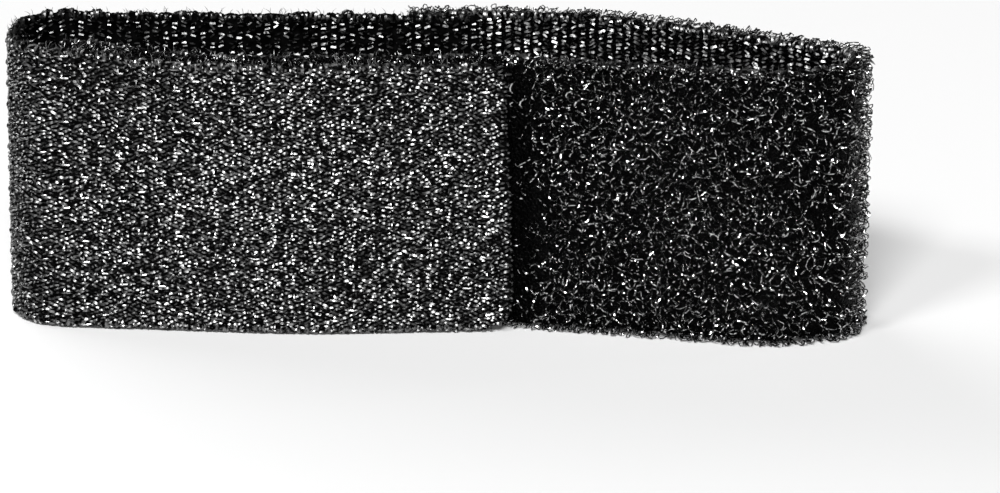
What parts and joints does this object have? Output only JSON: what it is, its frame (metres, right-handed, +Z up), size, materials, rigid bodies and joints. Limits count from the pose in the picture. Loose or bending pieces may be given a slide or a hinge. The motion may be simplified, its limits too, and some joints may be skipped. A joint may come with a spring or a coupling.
{
  "type": "hook and loop cable tie",
  "caption": "Black woven strap closed into an oblong ring that goes round a bundle of cables, its rounded hook flap pressed on the looped pile of the other end.",
  "frame": {"origin": "middle of the underside, on the surface that the ring stands on", "axes": "+Z up, across the tape's width; +X along the ring's long side, from the hook tape's bend to the loop tape's bend; +Y from the flap to the lap at the back"},
  "size_m": [0.0624, 0.0198, 0.02],
  "materials": {
    "hook_tape": "black nylon tape in a fine plain weave, with small glossy threads on its back and hooks on its face",
    "loop_tape": "black nylon tape with a soft pile of curled loops on its face and a plain woven back"
  },
  "bodies": {
    "root": {"hook_tape": "hook_tape", "loop_tape": "loop_tape"}
  },
  "joints": []
}
